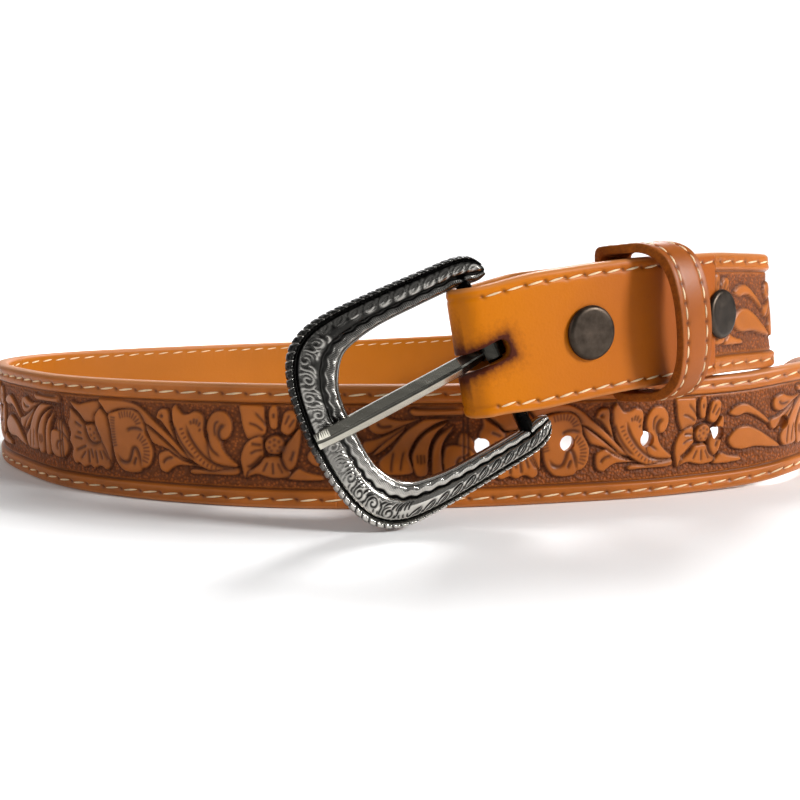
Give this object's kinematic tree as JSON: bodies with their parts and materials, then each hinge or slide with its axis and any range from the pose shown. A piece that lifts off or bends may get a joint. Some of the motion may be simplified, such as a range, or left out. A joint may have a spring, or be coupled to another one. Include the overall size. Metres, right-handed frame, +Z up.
{
  "type": "western tooled belt",
  "caption": "Western leather belt with floral tooling and stitched edges, coiled in a loop and standing on edge, with an engraved rope-edged buckle, leather keeper and snap closure.",
  "frame": {"origin": "middle of the belt's own box, on the surface that it stands on", "axes": "+Z up; the buckle and the front of the loop face -Y; +X to the right of a viewer at the front"},
  "size_m": [0.3268, 0.2472, 0.0798],
  "materials": {
    "strap_leather": "oiled tan, floral tooling with a matted ground",
    "keeper_leather": "smooth tan",
    "snap_metal": "dark gunmetal",
    "buckle_metal": "antique silver, engraved, recesses blackened",
    "prong_metal": "polished"
  },
  "bodies": {
    "strap": {"strap": "strap_leather", "keeper": "keeper_leather", "snap_cap_1": "snap_metal", "snap_cap_2": "snap_metal", "snap_stud_1": "snap_metal", "snap_stud_2": "snap_metal"},
    "frame": {"buckle_frame": "buckle_metal"},
    "prong": {"prong": "prong_metal"}
  },
  "joints": [
    {"name": "buckle_swing", "type": "hinge", "parent": "strap", "child": "frame", "pos_m": [0.02889, -0.10576, 0.04745], "axis": [-0.4229, -0.0758, 0.903], "range_deg": [-3, 35]},
    {"name": "prong_swing", "type": "hinge", "parent": "frame", "child": "prong", "pos_m": [0.02889, -0.10576, 0.04745], "axis": [-0.4229, -0.0758, 0.903], "range_deg": [0, 50]}
  ]
}
